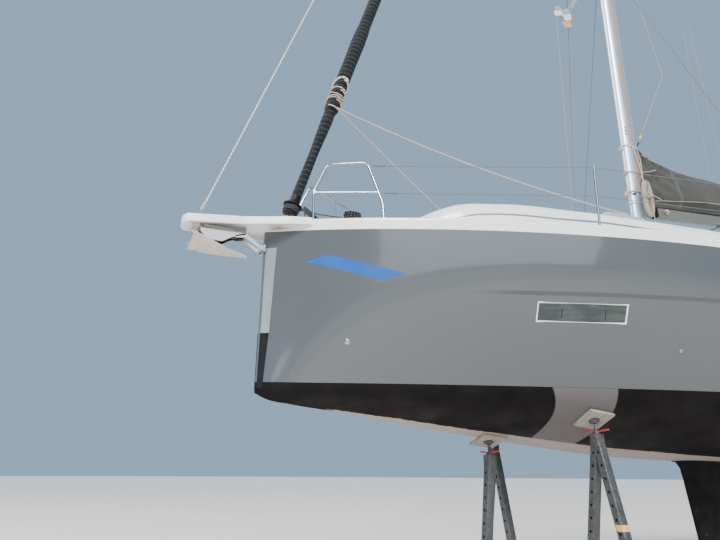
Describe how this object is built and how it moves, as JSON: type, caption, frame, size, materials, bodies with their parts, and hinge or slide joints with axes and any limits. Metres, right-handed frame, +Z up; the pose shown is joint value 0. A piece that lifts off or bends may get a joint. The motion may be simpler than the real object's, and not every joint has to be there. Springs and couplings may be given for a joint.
{
  "type": "sailing yacht",
  "caption": "Sailing yacht laid up ashore on a keel block and steel props, with bowsprit, furled headsail, boom with sail bag, steering wheels and a fold-down stern platform.",
  "frame": {"origin": "on the floor at the middle of the keel block's foot", "axes": "+X forward to the bow, +Y to port, +Z up"},
  "size_m": [14.386, 4.41, 22.3178],
  "materials": {
    "hull_grey": "gloss",
    "moulding_white": "gloss",
    "stainless": "polished",
    "cast_iron": "painted",
    "timber": "raw",
    "alloy": "anodised",
    "dark_glass": "gloss",
    "black_plastic": "satin",
    "sail_black": "matte",
    "cover_olive": "matte",
    "bronze": "satin",
    "galvanised": "galvanised",
    "drive_grey": "satin"
  },
  "bodies": {
    "yacht": {"hull": "hull_grey", "deck": "moulding_white", "hull_window_port": "dark_glass", "hull_window_starboard": "dark_glass", "coachroof_window_port": "dark_glass", "coachroof_window_starboard": "dark_glass", "bowsprit": "moulding_white", "bow_bracket": "stainless", "anchor": "galvanised", "roof_winch_port": "stainless", "cockpit_winch_port": "stainless", "roof_winch_starboard": "stainless", "cockpit_winch_starboard": "stainless", "windlass": "stainless", "keel": "cast_iron", "keel_block": "timber", "saildrive": "drive_grey", "mast": "alloy", "forestay": "stainless", "shrouds_port": "stainless", "shrouds_starboard": "stainless", "backstay_port": "stainless", "backstay_starboard": "stainless", "pulpit_port": "stainless", "pulpit_starboard": "stainless", "guardrail_port": "stainless", "guardrail_starboard": "stainless", "pushpit_port": "stainless", "pushpit_starboard": "stainless", "helm_console_port": "moulding_white", "helm_console_starboard": "moulding_white", "cockpit_table": "timber", "prop_forward_port_pad": "timber", "prop_forward_port": "galvanised", "prop_forward_starboard_pad": "timber", "prop_forward_starboard": "galvanised", "prop_aft_port_pad": "timber", "prop_aft_port": "galvanised", "prop_aft_starboard_pad": "timber", "prop_aft_starboard": "galvanised", "prop_bow_pad": "timber", "prop_bow": "galvanised"},
    "rudder_blade": {"rudder": "cast_iron"},
    "helm_port": {"wheel_port": "black_plastic"},
    "helm_starboard": {"wheel_starboard": "black_plastic"},
    "propeller_body": {"propeller": "bronze"},
    "furler": {"furler_drum": "black_plastic", "furled_headsail": "sail_black"},
    "boom_body": {"boom": "alloy", "sail_bag": "cover_olive", "vang": "alloy"},
    "locker_lid_body": {"anchor_locker_lid": "moulding_white"},
    "fore_hatch_body": {"fore_hatch": "dark_glass"},
    "saloon_hatch_body": {"saloon_hatch": "dark_glass"},
    "slide_body": {"companionway_slide": "moulding_white"},
    "door_port_body": {"companionway_door_port": "dark_glass"},
    "door_starboard_body": {"companionway_door_starboard": "dark_glass"},
    "platform_body": {"bathing_platform": "moulding_white"}
  },
  "joints": [
    {"name": "rudder_turn", "type": "hinge", "parent": "yacht", "child": "rudder_blade", "pos_m": [-5.9, 0, 2], "axis": [0, 0, 1], "range_deg": [-35, 35]},
    {"name": "wheel_port_turn", "type": "hinge", "parent": "yacht", "child": "helm_port", "pos_m": [-5.505, 0.92, 3.82], "axis": [1, 0, 0], "range_deg": [-280, 280]},
    {"name": "wheel_starboard_turn", "type": "hinge", "parent": "yacht", "child": "helm_starboard", "pos_m": [-5.505, -0.92, 3.82], "axis": [1, 0, 0], "range_deg": [-280, 280]},
    {"name": "propeller_turn", "type": "hinge", "parent": "yacht", "child": "propeller_body", "pos_m": [-2.35, 0, 1.47], "axis": [1, 0, 0], "continuous": true},
    {"name": "furler_turn", "type": "hinge", "parent": "yacht", "child": "furler", "pos_m": [6.235, 0, 4.06], "axis": [-0.2977, 0, 0.9546], "continuous": true},
    {"name": "boom_swing", "type": "hinge", "parent": "yacht", "child": "boom_body", "pos_m": [0.76289, 0, 5.2528], "axis": [-0.0244, 0, 0.9997], "range_deg": [-65, 65]},
    {"name": "anchor_locker_open", "type": "hinge", "parent": "yacht", "child": "locker_lid_body", "pos_m": [5.904, 0, 4.01916], "axis": [0, 1, 0], "range_deg": [0, 95]},
    {"name": "fore_hatch_open", "type": "hinge", "parent": "yacht", "child": "fore_hatch_body", "pos_m": [3.91184, 0, 4.52375], "axis": [0, 1, 0], "range_deg": [0, 85]},
    {"name": "saloon_hatch_open", "type": "hinge", "parent": "yacht", "child": "saloon_hatch_body", "pos_m": [2.21271, 0, 4.53471], "axis": [0, 1, 0], "range_deg": [0, 85]},
    {"name": "companionway_slide_open", "type": "slide", "parent": "yacht", "child": "slide_body", "axis": [1, 0, 0], "range_m": [0, 0.6]},
    {"name": "companionway_door_port_open", "type": "hinge", "parent": "yacht", "child": "door_port_body", "pos_m": [-2.284, 0.352, 4], "axis": [0, 0, -1], "range_deg": [0, 165]},
    {"name": "companionway_door_starboard_open", "type": "hinge", "parent": "yacht", "child": "door_starboard_body", "pos_m": [-2.284, -0.352, 4], "axis": [0, 0, 1], "range_deg": [0, 165]},
    {"name": "bathing_platform_lower", "type": "hinge", "parent": "yacht", "child": "platform_body", "pos_m": [-7.08, 0, 2.76], "axis": [0, -1, 0], "range_deg": [0, 90]}
  ],
  "couplings": [
    {"joint": "wheel_port_turn", "follows": "rudder_turn", "ratio": 8},
    {"joint": "wheel_starboard_turn", "follows": "rudder_turn", "ratio": 8}
  ]
}
